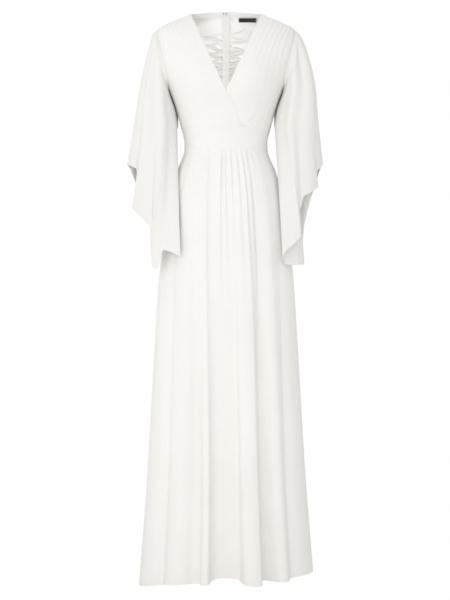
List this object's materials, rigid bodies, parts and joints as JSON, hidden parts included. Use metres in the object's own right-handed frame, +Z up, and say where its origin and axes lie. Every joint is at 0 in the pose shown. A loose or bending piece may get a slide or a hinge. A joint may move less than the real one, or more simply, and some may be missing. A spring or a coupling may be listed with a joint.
{
  "type": "evening dress",
  "caption": "Floor-length ivory evening dress with a pleated wrap V front, midriff band, gathered skirt and open handkerchief sleeves, in its worn hollow form.",
  "frame": {"origin": "midway between the two points where the shoulder seams meet the neck, where the wearer's shoulders hold the dress up", "axes": "+Z up along the dress, -Y to the front, +X to the wearer's left"},
  "size_m": [0.525, 0.4192, 1.538],
  "materials": {
    "chiffon": "matt ivory crepe chiffon over its backing",
    "satin_lining": "ivory polyester satin, shiny side in",
    "label_ribbon": "black woven ribbon, blank",
    "zip_lacquer": "ivory lacquered zinc"
  },
  "bodies": {
    "dress": {"bodice_front_right": "chiffon", "bodice_front_left": "chiffon", "neck_band_right": "chiffon", "neck_band_left": "chiffon", "bodice_back_right": "chiffon", "bodice_back_left": "chiffon", "neck_band_back_right": "chiffon", "neck_band_back_left": "chiffon", "midriff_front": "chiffon", "midriff_back_right": "chiffon", "midriff_back_left": "chiffon", "skirt_front": "chiffon", "skirt_back_right": "chiffon", "skirt_back_left": "chiffon", "sleeve_right": "chiffon", "sleeve_left": "chiffon", "zip_guard": "chiffon", "lining_back_right": "satin_lining", "lining_back_left": "satin_lining", "label": "label_ribbon", "zip_slider": "zip_lacquer"},
    "zip_pull": {"zip_pull": "zip_lacquer"}
  },
  "joints": [
    {"name": "zip_pull_swing", "type": "hinge", "parent": "dress", "child": "zip_pull", "pos_m": [0, 0.07455, -0.01734], "axis": [1, 0, 0], "range_deg": [0, 140]}
  ]
}
